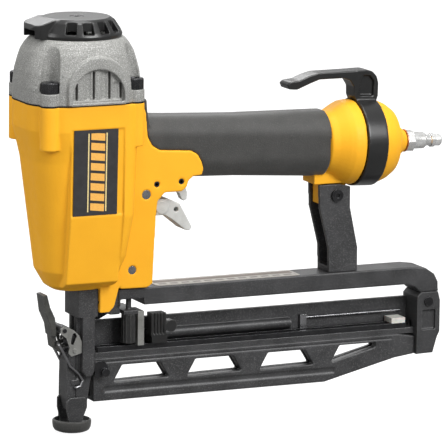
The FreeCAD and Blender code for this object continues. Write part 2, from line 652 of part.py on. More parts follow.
def trigger_valve():
    node("valve_bushing", turned("valve_bushing", [
        (2.05, "bushing_low"), ("valve_radius", "bushing_low"), ("valve_radius", 190), (4, 190),
        (4, 177.6), (2.05, 177.6),
    ], "z", ("valve_x", 0, 0)))
    node("valve_stem", turned("valve_stem", [
        (0, 166.2), (1.4, 166.2), ("stem_radius", 167), ("stem_radius", 178), (3.6, 178), (3.6, 180),
        (0, 180),
    ], "z", ("valve_x", 0, 0)))
    node("valve_cap", rod("valve_cap", "z", "valve_radius", 190, 192, "valve_x"))
    node("valve_spring", coil("valve_spring", 2.9, 0.35, 180.1, 189.9, 5, "valve_x"))


# --- rear of the handle: seal, end cap, belt hook and air plug ---

def at_handle():
    return {"at": (0, 0, "handle_z"), "turn": TILTED}


def handle_end():
    node("end_seal", turned("end_seal", [
        ("air_bore", "collar_rear + 0.05"), ("cap_spigot", "collar_rear + 0.05"),
        ("cap_spigot", "collar_rear + 0.5"), ("air_bore", "collar_rear + 0.5")], "x", **at_handle()))
    node("end_cap", turned("end_cap", [
        ("air_bore", "collar_rear + 0.5"), ("air_bore", 245), (6.1, 248), (6.1, 260), (7.6, 260),
        (8.8, 257.8), (12.6, 253), (15.5, 251), (24, 246.8), (28, 241), (30, 236),
        (30.6, "hook_ring_rear + 0.2"),
        ("cap_spigot", "hook_ring_rear + 0.2"), ("cap_spigot", "collar_rear + 0.5")], "x", **at_handle()))


def belt_hook():
    ring = turned("hook_ring", [
        ("hook_ring_inner", "collar_rear + 0.6"), ("hook_ring_outer", "collar_rear + 0.6"),
        ("hook_ring_outer", "hook_ring_rear"), ("hook_ring_inner", "hook_ring_rear")], "x", **at_handle())
    arm = prism("hook_arm", "XZ_Plane", "-hook_half", "hook_half", [
        (216.6, 30.4), (232.6, 30.4), (233.8, 34), (233.8, 44), (232, 49), (228.5, 52.4), (223.9, 53.5),
        (184.5, 51.4), (178, 49.6), (170, 46.2), (162.9, 45.3), (160.6, 43), (162.4, 39.6), (168.8, 39.4),
        (178, 43.4), (186.4, 46.6), (205.5, 47.4), (211, 45.6), (214.2, 41), (214.8, 34)], **at_handle())
    recesses = [prism(f"hook_recess_{side}", "XZ_Plane", low, high, [
        (219, 34.5), (230, 34.5), (230, 45.6), (226.5, 49.4), (221.5, 49.4), (219, 46)], **at_handle())
        for side, low, high in (("near", -9, -4.6), ("far", 4.6, 9))]
    node("belt_hook", cut("belt_hook", fuse("hook_blank", ring, arm), *recesses))


def air_plug():
    spindle = turned("plug_spindle", [
        (3.2, 248.1), (6.05, 248.1), (6.05, 260.9), (7, 260.9), (7, 266.8), (6.2, 267.6), (6, 275.8),
        (5, 277.2), (4, 278.2), (4, 281), (5, 281.8), (5, 284.3), (4.2, 285), (4.2, 289.2),
        (3.6, "plug_end"), (3.2, "plug_end"),
    ], "x", **at_handle())
    corner = 8.25
    turns = [math.radians(60 * i) for i in range(6)]
    corners = [(round(corner * math.cos(t), 3), round(corner * math.sin(t), 3)) for t in turns]
    nut = prism("plug_hex", "YZ_Plane", 260.9, 266.6, corners, ("circle", 0, 0, 6), **at_handle())
    node("air_plug", fuse("air_plug", spindle, nut))
    node("plug_washer", turned("plug_washer", [
        (6.1, 260.1), (8.3, 260.1), (8.3, 260.8), (6.1, 260.8)], "x", **at_handle()))


# --- beam, strut and magazine ---

def beam():
    main = prism("beam_main", "XZ_Plane", "-beam_half", "beam_half", [
        (29.6, "beam_bottom"), (259, "beam_bottom"), (266, 87.5), (270.2, 83.4), (285, 83.4), (284.6, 90.5),
        (281.5, 96.5), (274.5, 101.2), (264, "beam_top"), (29.6, "beam_top")])
    neck = prism("beam_neck", "XZ_Plane", "-beam_neck_half + 0.1", "beam_neck_half - 0.1", [
        (13.8, 88), (24, 84.2), (32, 84.2), (32, "beam_top"), (13.8, "beam_top")])
    hollow = block("beam_hollow", (62, 250), (-9, 9), (84, 99.4))
    notch = block("trip_notch", (30.9, 49), (-20, 20), (80, 95))
    rod_hole = rod("beam_rod_hole", "z", "rod_radius + 0.6", 90, 110, "rod_x", "rod_y")
    bolt_hole = rod("neck_hole", "y", 2.5, -20, 20, 16, 0, 94.5)
    screw_holes = [rod(f"beam_screw_hole_{i}", "z", 2, 96, 110, x) for i, x in enumerate((203, 213))]
    blank = fuse("beam_blank", main, neck)
    node("beam", cut("beam", blank, hollow, notch, rod_hole, bolt_hole, *screw_holes))
    node("beam_label", prism("beam_label", "XY_Plane", "beam_top", "beam_top + 0.3",
                             ("rounded", 116.5, 0, 57, 10, 2)))
    node("ear_bolt", fuse("ear_bolt", rod("ear_bolt_shank", "y", 2.5, -13.5, 15.6, 16, 0, 94.5),
                          rod("ear_bolt_head", "y", 3.8, 15.5, 17.2, 16, 0, 94.5)))


def strut():
    outside = prism("strut_outside", "XZ_Plane", "-strut_half", "strut_half", [
        (187.5, 167.9), (204, 167.9), (212.6, 165.6), (212.8, 150), (219, 121), (219.2, "beam_top"),
        (196.4, "beam_top"), (195.6, 122), (188.5, 150)])
    clevis = block("clevis_gap", (186, 216), (-6.95, 6.95), (151.8, 170))
    channel = prism("strut_channel", "XZ_Plane", -6.95, 6.95, [
        (184, 152), (192, 120), (192, 107.2), (215, 107.2), (215, 121), (208.8, 152)])
    hole = rod("strut_screw_hole", "y", 3, -12, 12, 201.6, 0, 159.8)
    screw_holes = [rod(f"strut_base_hole_{i}", "z", 2, 100, 110, x) for i, x in enumerate((203, 213))]
    node("strut", cut("strut", outside, clevis, channel, hole, *screw_holes))
    pin = rod("strut_screw_shank", "y", 3, -10, 10, 201.6, 0, 159.8)
    heads = [rod("strut_screw_head", "y", 4.4, -12.2, "-strut_half", 201.6, 0, 159.8),
             rod("strut_screw_nut", "y", 4.4, "strut_half", 12.2, 201.6, 0, 159.8)]
    socket = rod("strut_screw_socket", "y", 1.9, -13, -11, 201.6, 0, 159.8)
    node("strut_screw", cut("strut_screw", fuse("strut_screw_blank", pin, *heads), socket))
    screws = []
    for i, x in enumerate((203, 213)):
        shank = rod(f"base_shank_{i}", "z", 2, 99.4, 107.2, x)
        head = rod(f"base_head_{i}", "z", 3.6, 97, 99.4, x)
        screws.append(fuse(f"base_screw_{i}", shank, head))
    node("strut_base_screws", group("strut_base_screws", *screws))


def windows():
    first = [(27.2, 34.4), (34.2, 46.6), (63.8, 46.6), (70.8, 35.2)]
    openings = []
    for i in range(3):
        openings.append([(x + i * SIZES["window_pitch"], z) for x, z in first])
    openings.append([(200, 35.4), (207, 47.6), (236.6, 47.6), (236.2, 44.2)])
    return openings


def magazine():
    plates = prism("mag_plates", "XZ_Plane", "mag_near", "mag_far", [
        (12, "mag_bottom"), (195, "mag_bottom"), (252, 35), (267.9, 37), (267.9, 50), (255, "mag_top"),
        (12, "mag_top")])
    slot = block("nail_slot", (10, 256), ("-mag_slot", "mag_slot"), (24, 54))
    cuts = [prism(f"window_{i}", "XZ_Plane", -12, 8, outline) for i, outline in enumerate(windows())]
    groove = block("mag_groove", (20, 203), (-9, -7.2), (27.4, 31.6))
    relief = block("mag_relief", (14, 250), (-9, -7.4), (48.8, 50.2))
    node("magazine", cut("magazine", plates, slot, groove, relief, *cuts))
    shelf = block("channel_shelf", (14, 267.9), (-6, "channel_far"), ("mag_top", 56.4))
    wall = block("channel_wall", (16, 267.9), ("channel_far - 2.6", "channel_far"), (54, "channel_top"))
    gap = block("channel_slot", (13, 256), ("-mag_slot", "mag_slot"), (50, 60))
    ridge = common("channel_ridge", rod("ridge_round", "x", 4, 52, 173, 0, 7.4, 64.4),
                   block("ridge_side", (50, 175), (2, "channel_far"), (58, 70)))
    node("mag_channel", cut("mag_channel", fuse("channel_blank", shelf, wall, ridge), gap))
    rails = [block(f"rail_{side}", (16, 262), y, (56.4, 60.2))
             for side, y in (("near", (-6, -2.4)), ("far", (2.4, 6.4)))]
    node("pusher_rails", group("pusher_rails", *rails))
    node("feed_gate", cut("feed_gate", block("gate_blank", (45.3, 50), (-10, 6.4), (60.3, 85.2)),
                          block("gate_slot", (44, 52), ("-mag_slot - 0.3", "mag_slot + 0.3"), (60, 82))))
    node("end_spacer", block("end_spacer", (250, 261), (-6, 6), (60.3, 64.2)))
    clip = fuse("catch_clip", block("clip_tab", (180.7, 185.7), (4.6, 7.2), (60.3, 70)),
                rod("clip_wire", "x", 0.9, 185, 262.5, 0, 5.8, 67.6))
    node("catch_clip", clip)
    bolt = fuse("front_bolt_blank", rod("front_bolt_boss", "y", 6, -13, "mag_near", 15.2, 0, 46),
                rod("front_bolt_head", "y", 3, -16, -13, 18.4, 0, 43.6))
    node("front_bolt", cut("front_bolt", bolt, block("front_bolt_flat", (5, 10.9), (-14, -7.9), (38, 54))))


def pusher():
    follower = block("follower", (57, 65), (-1.3, 1.3), (47, 66))
    bridge = block("bridge", (56, 68), (-11, 3), (61, 68))
    knob = block("knob", (55.4, 67), (-11, -2), (66, 83))
    ribs = [block(f"rib_gap_{i}", (x, x + 1.2), (-12, -9.6), (67.5, 84))
            for i, x in enumerate((57, 59.4, 61.8, 64.2))]
    node("pusher", cut("pusher", fuse("pusher_blank", follower, bridge, knob), *ribs))
    node("pusher_spring", rod("pusher_spring", "y", 4.4, -9.5, -3, 71.6, 0, 72.6))


def end_plate():
    plate = prism("end_blank", "XZ_Plane", "-beam_half", "beam_half", [
        (268, 37), (281.3, 37.4), (284.7, 49.1), (286.8, 53.2), (286.8, 76.3), (285, 83.3), (270.8, 83.3),
        (268, 80)])
    hollow = block("end_hollow", (272, 283), (-13, -9.5), (55, 70))
    bore = rod("end_bore", "x", 2.5, 250, 300, 0, 0, 58.3)
    side = rod("end_side_bore", "y", 2, -20, 20, 277, 0, 76.3)
    node("end_plate", cut("end_plate", plate, hollow, bore, side))
    node("end_bolt", fuse("end_bolt", rod("end_bolt_shank", "x", 2.5, 269, 287, 0, 0, 58.3),
                          rod("end_bolt_head", "x", 4.4, 286.8, 290.2, 0, 0, 58.3)))
    heads = [rod("end_screw_near", "y", 3.4, -13.6, "-beam_half", 277, 0, 76.3),
             rod("end_screw_far", "y", 3.4, "beam_half", 13.6, 277, 0, 76.3)]
    node("end_screw", fuse("end_screw", rod("end_screw_shank", "y", 2, -12.2, 12.2, 277, 0, 76.3), *heads))


# --- nose: nosepiece, door, latch and wire bail ---

def nosepiece():
    head = block("nose_head", (-2.2, 13.1), ("-nose_half", "nose_half"), (84, "barrel_base"))
    column = prism("nose_column", "XZ_Plane", "-nose_half", "nose_half", [
        (1.4, 85), (1.4, 45), (4, 41), (8.6, 41), (10.8, 45), (10.8, 85)])
    core = prism("nose_core", "XZ_Plane", "-nose_core_half", "nose_core_half", [
        (-1.2, 85), (-1.2, 16.5), (0.6, 14), (5.2, 14), (7, 19), (8.5, 28.3), (10.8, 42), (10.8, 85)])
    catches = [block(f"catch_{side}", (-5, 1), y, (34.6, 38.6))
               for side, y in (("near", (-7.9, -7.1)), ("far", (7.1, 7.9)))]
    blade_way = block("blade_way", (-1.3, 1), (-1.9, 1.9), (4, 110))
    nail_way = block("nail_way", (0.9, 15), ("-mag_slot", "mag_slot"), (16, 84))
    blank = fuse("nose_blank", head, column, core, *catches)
    node("nosepiece", cut("nosepiece", blank, blade_way, nail_way))
    cheek = [(-14.6, 77), (-12, 78.6), (-5, 75.4), (-1, 71.5), (1.35, 66.4), (1.35, 58.5), (-2, 57.6),
             (-6.6, 56.4), (-8.8, 58.8), (-8, 63), (-10.5, 70), (-14.8, 73.4)]
    cheeks = [prism(f"cheek_{side}", "XZ_Plane", low, high, cheek)
              for side, low, high in (("near", -11.3, -10.1), ("far", 10.1, 11.3))]
    hole = rod("cheek_hole", "y", 1.6, -14, 14, "hinge_x", 0, "hinge_z")
    slot = prism("cheek_slot", "XZ_Plane", -14, 14, [
        (-5.8, 73), (-3.6, 73.4), (-2.4, 71), (-5, 64.6), (-7.2, 65.2), (-7, 68)])
    rivets = [rod(f"cheek_rivet_{side}", "y", 1.5, low, high, -4, 0, 60.4)
              for side, low, high in (("near", -12.2, -11), ("far", 11, 12.2))]
    pieces = [fuse(f"cheek_{i}", cut(f"cheek_plate_{i}", plate, hole, slot), rivet)
              for i, (plate, rivet) in enumerate(zip(cheeks, rivets))]
    node("nose_cheeks", group("nose_cheeks", *pieces))
    node("door_pin", rod("door_pin", "y", 1.6, -12, 12, "hinge_x", 0, "hinge_z"))


def nose_door():
    plate = prism("door_plate", "XZ_Plane", "-door_half", "door_half", [
        (-1.4, 15.2), (-5.6, 15.2), (-7.8, 24.6), (-8.4, 36), (-8.4, 52), (-5.6, 55.4), (-5.6, 66),
        (-8.4, 71), (-12, 72.6), (-12, 78.4), (-6, 76.4), (-1.4, 68)])
    knuckle = rod("door_knuckle", "y", 3, -10, 10, "hinge_x", 0, "hinge_z")
    ears = []
    for side, low, high in (("near", -6.9, -4.5), ("far", 4.5, 6.9)):
        end = rod(f"ear_round_{side}", "y", 2.8, low, high, "latch_x", 0, "latch_z")
        root = block(f"ear_root_{side}", ("latch_x", -5), (low, high), ("latch_z - 2.8", "latch_z + 2.8"))
        ears.append(fuse(f"latch_ear_{side}", end, root))
    bore = rod("door_bore", "y", 1.65, -14, 14, "hinge_x", 0, "hinge_z")
    pin_hole = rod("latch_pin_hole", "y", 1.4, -14, 14, "latch_x", 0, "latch_z")
    node("nose_door", cut("nose_door", fuse("door_blank", plate, knuckle, *ears), bore, pin_hole))
    node("latch_pin", rod("latch_pin", "y", 1.4, -6.9, 6.9, "latch_x", 0, "latch_z"))


def latch():
    foot = prism("latch_foot", "XZ_Plane", -4.3, 4.3, [
        (-16, 72), (-15.2, 67.6), (-7.6, 62.6), (-7, 59.6), (-9, 57.4), (-11.5, 57.8), (-18.4, 62.8),
        (-19.6, 72)])
    tab = prism("latch_tab", "XZ_Plane", -6.6, 6.6, [
        (-26.6, 101), (-23.4, 101.2), (-21, 92), (-17.2, 84), (-16.2, 71), (-19.6, 71), (-20.8, 79),
        (-24.8, 88)])
    pivot = rod("latch_bore", "y", 1.45, -8, 8, "latch_x", 0, "latch_z")
    bail_hole = rod("bail_hole", "y", "wire + 0.06", -8, 8, "bail_x", 0, "bail_z")
    node("latch_lever", cut("latch_lever", fuse("latch_blank", foot, tab), pivot, bail_hole))


def bail():
    """A wire loop: a bar through the latch and two legs whose bent tips sit under the catches."""
    reach = sheet.get("bail_y")
    leg = [(-2.1, 33), (1.6, 33.8), (3.4, 37.6), (0.4, 42.6), (-6.2, 48.6), (-10.6, 57),
           (sheet.get("bail_x"), sheet.get("bail_z"))]
    tip_y = 7.3
    near = [Vector(leg[0][0], -tip_y, leg[0][1])] + [Vector(x, -reach, z) for x, z in leg]
    far = [Vector(point.x, -point.y, point.z) for point in reversed(near)]
    round_corners = 2
    circle = Part.Wire(Part.Circle(near[0], Vector(0, 1, 0), sheet.get("wire")).toShape())
    piece = doc.addObject("Part::Feature", "wire_bail")
    piece.Shape = Part.makePolygon(near + far).makePipeShell([circle], True, False, round_corners)
    node("wire_bail", piece)


# --- contact trip: foot, arm, rod, spring, depth knob and pad ---

def contact_trip():
    plate = rod("foot_plate", "z", 12.4, 2.6, 6, "pad_x")
    lug = block("foot_lug", (-5, 2), (4, 17.8), (2.6, 6))
    arm = prism("trip_arm", "XZ_Plane", 15.8, 17.8, [
        (-5, 2.6), (2, 2.6), (3, 58), (14, 70), (34, 80), (45, 80), (45, 86.5), (30, 86.5), (-4, 66)])
    bridge = block("trip_bridge", (34, 45), (-11, 17.8), (83.5, 86.5))
    shaft = rod("trip_shaft", "z", "rod_radius", 62, 150, "rod_x", "rod_y")
    stop = rod("trip_collar", "z", 4, 116, 117.6, "rod_x", "rod_y")
    guards = [prism(f"tip_guard_{side}", "XZ_Plane", low, high, [
        (-6.8, 3), (-7.6, 9), (-9.4, 16), (-9.4, 23), (-6.6, 25.8), (4.2, 25.8), (6.6, 23.5), (6.4, 18),
        (3.2, 10), (1.8, 3)])
        for side, low, high in (("near", -9.6, -8), ("far", 8, 9.6))]
    gap = rod("foot_gap", "z", 4.4, 0, 9)
    blank = fuse("trip_blank", plate, lug, arm, bridge, shaft, stop, *guards)
    node("contact_trip", cut("contact_trip", blank, gap))
    pad = turned("pad_blank", [
        (3, 0), (10, 0), (12.4, 1), (13.6, 3), ("pad_radius", 5.8), ("pad_radius", 8), (12.5, 9),
        (12.5, 2.55), (3, 2.55),
    ], "z", ("pad_x", 0, 0))
    node("no_mar_pad", cut("no_mar_pad", pad, block("pad_lug_gap", (-5.1, 2.1), (3, 19), (2.5, 10)),
                           rod("pad_gap", "z", "exit_radius", -1, 4)))
    node("trip_spring", coil("trip_spring", 3.2, 0.5, 117.7, "spring_seat - 0.1", 6, "rod_x", "rod_y"))
    ribs = []
    for i in range(12):
        turn = math.radians(30 * i)
        across = SIZES["rod_x"] + 5.6 * math.cos(turn)
        along = SIZES["rod_y"] + 5.6 * math.sin(turn)
        ribs.append(rod(f"knob_flute_{i}", "z", 0.7, 60, 90, across, along))
    barrel_shape = rod("knob_barrel", "z", "knob_radius", 62.5, 83.3, "rod_x", "rod_y")
    bore = rod("knob_bore", "z", "rod_radius + 0.04", 60, 90, "rod_x", "rod_y")
    node("depth_knob", cut("depth_knob", barrel_shape, bore, *ribs))


def side_badges():
    """A thin plate on each side panel, parallel to the panel's slope."""
    plates = []
    for side, sign in (("near", -1), ("far", 1)):
        face = [(sign * 35.11, 162.3), (sign * 37.02, 223.4), (sign * 37.92, 223.4), (sign * 36.01, 162.3)]
        plates.append(prism(f"badge_{side}", "YZ_Plane", -16.2, 17.2, face))
    node("side_badges", group("side_badges", *plates))


# --- sanity: nothing is written until every object is sound ---

def write_nodes():
    doc.recompute()
    failed = [thing.Name for thing in doc.Objects if "Invalid" in thing.State or "Error" in thing.State]
    if failed:
        raise RuntimeError(f"failed: {failed}")
    os.makedirs("parts", exist_ok=True)
    for name, piece in NODES.items():
        shape = piece.Shape
        if shape.isNull() or not shape.isValid():
            raise RuntimeError(f"{name} has no sound shape")
        shape.exportStep(f"parts/{name}.step")
        print(name, len(shape.Solids), round(shape.Volume), shape.BoundBox)


grip(housing())
gasket()
head_cap()
deflector()
node("cap_screws", group("cap_screws", *[cap_screw(i, x, y) for i, (x, y) in enumerate(bolt_places())]))
motor()
trigger()
lock_lever()
trigger_valve()
handle_end()
belt_hook()
air_plug()
beam()
strut()
magazine()
pusher()
end_plate()
nosepiece()
nose_door()
latch()
bail()
contact_trip()
side_badges()
write_nodes()
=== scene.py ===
import bmesh
import bpy
import json
import math
from mathutils import Matrix, Quaternion, Vector


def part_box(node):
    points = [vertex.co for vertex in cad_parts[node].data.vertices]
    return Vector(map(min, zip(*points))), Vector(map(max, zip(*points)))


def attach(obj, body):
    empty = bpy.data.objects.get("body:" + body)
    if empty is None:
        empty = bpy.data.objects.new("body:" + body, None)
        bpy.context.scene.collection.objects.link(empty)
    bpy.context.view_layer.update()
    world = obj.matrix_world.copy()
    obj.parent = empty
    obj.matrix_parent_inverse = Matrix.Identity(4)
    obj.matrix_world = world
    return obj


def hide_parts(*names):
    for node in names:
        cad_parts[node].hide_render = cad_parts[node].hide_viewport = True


# The brad nailer's looks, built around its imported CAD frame, in metres.

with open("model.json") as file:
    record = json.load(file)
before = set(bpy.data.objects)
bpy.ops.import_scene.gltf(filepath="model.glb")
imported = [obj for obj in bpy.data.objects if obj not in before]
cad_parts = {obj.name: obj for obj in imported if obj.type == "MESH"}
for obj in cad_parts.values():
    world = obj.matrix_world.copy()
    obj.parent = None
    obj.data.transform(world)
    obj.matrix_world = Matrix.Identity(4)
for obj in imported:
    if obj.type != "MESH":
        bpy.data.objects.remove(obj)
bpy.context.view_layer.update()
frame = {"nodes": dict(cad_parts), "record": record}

MM = 0.001
scene = bpy.context.scene
slot_of = {part["node"]: part["material_slot"] for part in frame["record"]["subparts"]}
body_of = {node: body
           for body, nodes in frame["record"]["behaviour"]["bodies"].items()
           for node in nodes}


# --- a short way to write shader nodes ---

PATCH = (0.3, 0.7)              # the part of a noise's range that soft patches use
BEVEL_SAMPLES = 4
WEAR_SIZE = 3.0                 # mm between breaks in the wear along an edge
WEAR_NOISE = (0.35, 0.65)
WEAR_STRENGTH = (0.3, 1.4)
EDGE_BEND = (0.01, 0.16)        # how far the rounded normal turns at no wear and at full wear


class Shader:
    """One material's node tree. Textures read object coordinates, which are metres at rest."""

    def __init__(self, name):
        self.material = bpy.data.materials.new(name)
        self.material.use_nodes = True
        self.tree = self.material.node_tree
        self.tree.nodes.clear()
        self.place = self.add("ShaderNodeTexCoord").outputs["Object"]

    def add(self, kind, settings=None, **inputs):
        """A node with its settings. Inputs go by name, or as i0, i1 where names repeat, and each
        is a value or another node's output."""
        made = self.tree.nodes.new(kind)
        for key, value in (settings or {}).items():
            setattr(made, key, value)
        for key, value in inputs.items():
            numbered = key[0] == "i" and key[1:].isdigit()
            socket = made.inputs[int(key[1:]) if numbered else key.replace("_", " ")]
            if isinstance(value, bpy.types.NodeSocket):
                self.tree.links.new(value, socket)
            else:
                socket.default_value = value
        return made

    def noise(self, size, detail=2.0, roughness=0.5, place=None):
        """Noise with features about size millimetres across."""
        made = self.add("ShaderNodeTexNoise", Vector=place or self.place, Scale=1 / (size * MM),
                        Detail=detail, Roughness=roughness)
        return made.outputs["Fac"]

    def grains(self, size):
        """Distance to the nearest grain centre, for grains about size millimetres apart."""
        made = self.add("ShaderNodeTexVoronoi", Vector=self.place, Scale=1 / (size * MM))
        return made.outputs["Distance"]

    def spread(self, value, low, high, to_low=0.0, to_high=1.0):
        """The value moved from the range low..high to the range to_low..to_high, and clamped."""
        made = self.add("ShaderNodeMapRange", Value=value, From_Min=low, From_Max=high,
                        To_Min=to_low, To_Max=to_high)
        return made.outputs["Result"]

    def patches(self, size, detail=3):
        """Soft patches from 0 to 1, about size millimetres across, to share out two colours."""
        return self.spread(self.noise(size, detail), *PATCH)

    def maths(self, operation, a, b):
        """One sum of two values or outputs."""
        return self.add("ShaderNodeMath", {"operation": operation}, i0=a, i1=b).outputs[0]

    def along(self, axis):
        """The object coordinate along x, y or z, in metres."""
        split = self.add("ShaderNodeSeparateXYZ", Vector=self.place)
        return split.outputs[axis.upper()]

    def drawn(self, stretch):
        """Object coordinates scaled along each axis: below 1, marks are drawn out that way."""
        return self.add("ShaderNodeMapping", Vector=self.place, Scale=stretch).outputs["Vector"]

    def inside(self, value, low, high):
        """1 where the value lies between low and high, and 0 elsewhere."""
        return self.maths("MULTIPLY", self.maths("GREATER_THAN", value, low),
                          self.maths("LESS_THAN", value, high))

    def blend(self, share, a, b):
        """Colour a where share is 0 and colour b where it is 1."""
        mixed = self.add("ShaderNodeMix", {"data_type": "RGBA"})
        for index, value in ((0, share), (6, a), (7, b)):
            if isinstance(value, bpy.types.NodeSocket):
                self.tree.links.new(value, mixed.inputs[index])
            else:
                mixed.inputs[index].default_value = value if index == 0 else (*value, 1.0)
        return mixed.outputs[2]

    def soft_normal(self, radius):
        """A normal that rounds hard edges over a radius in millimetres."""
        made = self.add("ShaderNodeBevel", {"samples": BEVEL_SAMPLES}, Radius=radius * MM)
        return made.outputs["Normal"]

    def edges(self, radius):
        """1 along sharp or softened edges, broken up by noise, and 0 on flats."""
        rounded = self.soft_normal(radius)
        flat = self.add("ShaderNodeNewGeometry").outputs["Normal"]
        dot = self.add("ShaderNodeVectorMath", {"operation": "DOT_PRODUCT"}, i0=rounded, i1=flat)
        bend = self.maths("SUBTRACT", 1.0, dot.outputs["Value"])
        broken = self.spread(self.noise(WEAR_SIZE, 4), *WEAR_NOISE, *WEAR_STRENGTH)
        return self.spread(self.maths("MULTIPLY", bend, broken), *EDGE_BEND)

    def bump(self, height, depth, normal=None):
        """A normal from a height field whose full swing is depth millimetres."""
        made = self.add("ShaderNodeBump", Height=height, Distance=depth * MM, Strength=1.0)
        if normal is not None:
            self.tree.links.new(normal, made.inputs["Normal"])
        return made.outputs["Normal"]

    def finish(self, **inputs):
        """The finished material, with these inputs on its surface."""
        surface = self.add("ShaderNodeBsdfPrincipled", **inputs)
        self.add("ShaderNodeOutputMaterial", Surface=surface.outputs["BSDF"])
        return self.material


# --- materials: one for each slot of the record, and three for single nodes ---

def yellow_cast():
    """Satin powder paint over a casting: soft orange peel, a little paler on thinned edges."""
    s = Shader("yellow_cast")
    base = s.blend(s.patches(22.0), (0.86, 0.405, 0.018), (0.90, 0.435, 0.020))
    colour = s.blend(s.maths("MULTIPLY", s.edges(1.2), 0.35), base, (0.95, 0.56, 0.09))
    dust = s.spread(s.noise(1.1, 4), 0.62, 0.80)
    dulled = s.blend(s.maths("MULTIPLY", dust, 0.25), colour, (0.68, 0.30, 0.02))
    peel = s.maths("ADD", s.noise(2.6, 2), s.maths("MULTIPLY", s.noise(0.7, 2), 0.3))
    rough = s.spread(s.noise(4.0, 3), *PATCH, 0.50, 0.64)
    return s.finish(Base_Color=dulled, Roughness=rough, Specular_IOR_Level=0.20,
                    Coat_Weight=0.03, Coat_Roughness=0.3, Normal=s.bump(peel, 0.05))


def grey_cast():
    """Silver cast-texture paint: coarse grain with metallic sparkle."""
    s = Shader("grey_cast")
    grain = s.grains(0.9)
    flakes = s.spread(s.noise(0.7, 1), 0.56, 0.68)
    pits = s.spread(s.noise(0.9, 2), 0.30, 0.44)
    base = s.blend(s.patches(9.0), (0.255, 0.255, 0.242), (0.295, 0.295, 0.280))
    pitted = s.blend(pits, (0.155, 0.155, 0.148), base)
    colour = s.blend(flakes, pitted, (0.47, 0.47, 0.455))
    height = s.maths("ADD", grain, s.maths("MULTIPLY", s.noise(1.8, 3), 0.9))
    rough = s.spread(flakes, 0, 1, 0.56, 0.34)
    return s.finish(Base_Color=colour, Metallic=0.25, Roughness=rough, Normal=s.bump(height, 0.20))


def moulded(name, dark, colour, grain, depth, rough, wear):
    """Moulded plastic: fine spark-eroded grain and slightly polished edges."""
    s = Shader(name)
    base = s.blend(s.patches(14.0), dark, colour)
    worn = s.edges(0.7)
    lifted = s.blend(s.maths("MULTIPLY", worn, wear), base, (0.16, 0.16, 0.155))
    height = s.maths("ADD", s.grains(grain), s.noise(grain * 0.6, 2))
    return s.finish(Base_Color=lifted, Roughness=s.spread(worn, 0, 1, rough, rough - 0.14),
                    Normal=s.bump(height, depth, s.soft_normal(0.35)))


def black_plastic():
    """Dense nylon on the caps and knobs, with edges polished by handling."""
    return moulded("black_plastic", dark=(0.008, 0.008, 0.008), colour=(0.013, 0.013, 0.013),
                   grain=0.5, depth=0.012, rough=0.30, wear=0.8)


def black_rubber():
    """Grip rubber: matt charcoal with a fine pebble."""
    s = Shader("black_rubber")
    base = s.blend(s.patches(11.0, 4), (0.026, 0.026, 0.024), (0.038, 0.037, 0.035))
    speck = s.spread(s.noise(0.5, 1), 0.60, 0.72)
    colour = s.blend(s.maths("MULTIPLY", speck, 0.4), base, (0.12, 0.12, 0.11))
    height = s.maths("ADD", s.grains(0.8), s.maths("MULTIPLY", s.noise(0.4, 2), 0.6))
    return s.finish(Base_Color=colour, Roughness=0.62, Sheen_Weight=0.15, Sheen_Roughness=0.5,
                    Normal=s.bump(height, 0.07))


def black_steel():
    """Black powder coat on the magazine, beam and nose: fine grain, thin bare edges. Its greys and
    light specks are lifted a little as a painted sheen, and its pale edges are partly bare metal
    and partly a painted edge highlight.
    """
    s = Shader("black_steel")
    # the coat's greys sit a little above its own tone: a painted sheen
    base = s.blend(s.patches(16.0, 4), (0.026, 0.026, 0.027), (0.052, 0.052, 0.054))
    # light specks: partly the coat's grain, partly painted glints of its sheen
    speck = s.spread(s.noise(0.6, 1), 0.58, 0.70)
    grain_and_painted_sheen = s.blend(s.maths("MULTIPLY", speck, 0.6), base, (0.17, 0.17, 0.17))
    # pale edges: partly the coat rubbed to bare metal, partly a painted edge highlight
    worn = s.edges(0.8)
    colour = s.blend(s.maths("MULTIPLY", worn, 0.65), grain_and_painted_sheen, (0.30, 0.30, 0.30))
    height = s.maths("ADD", s.grains(0.6), s.noise(0.9, 3))
    return s.finish(Base_Color=colour, Metallic=0.25, Roughness=s.spread(worn, 0, 1, 0.44, 0.30),
                    Normal=s.bump(height, 0.035, s.soft_normal(0.4)))


def metal(name, dark, light, edge=(0.8, 0.8, 0.8), rough=0.30, grain=0.6, stretch=(1, 1, 1),
          metallic=1.0, depth=0.01):
    """Bare or plated metal: stains, and marks grain millimetres wide drawn out along one axis."""
    s = Shader(name)
    marks = s.noise(grain, 3, 0.6, s.drawn(stretch))
    stain = s.spread(s.noise(7.0, 4), 0.35, 0.7)
    base = s.blend(s.maths("MULTIPLY", stain, s.spread(marks, *PATCH, 0.4, 1)), light, dark)
    worn = s.edges(0.5)
    colour = s.blend(s.maths("MULTIPLY", worn, 0.5), base, edge)
    return s.finish(Base_Color=colour, Metallic=metallic,
                    Roughness=s.spread(marks, *PATCH, rough - 0.08, rough + 0.08),
                    Normal=s.bump(marks, depth, s.soft_normal(0.25)))


def dark_oxide():
    """Black oxide on screws and pins."""
    return metal("dark_oxide", dark=(0.018, 0.018, 0.019), light=(0.040, 0.040, 0.042),
                 edge=(0.25, 0.25, 0.26), rough=0.32, grain=0.5, metallic=0.8)


def bright_steel():
    """Ground and drawn steel, marked along its height."""
    return metal("bright_steel", dark=(0.15, 0.15, 0.155), light=(0.30, 0.30, 0.31),
                 stretch=(1, 1, 0.1))


def zinc():
    """Bright zinc plating, marked along the tool's length."""
    return metal("zinc", dark=(0.45, 0.45, 0.44), light=(0.92, 0.92, 0.91), edge=(0.97, 0.97, 0.97),
                 rough=0.20, grain=0.8, stretch=(0.15, 1, 1), metallic=0.82)


def light_cast():
    """Tumbled aluminium casting with a fine matt grain."""
    return metal("light_cast", dark=(0.46, 0.465, 0.445), light=(0.60, 0.605, 0.585),
                 edge=(0.80, 0.80, 0.78), rough=0.48, grain=0.7, metallic=0.2, depth=0.04)


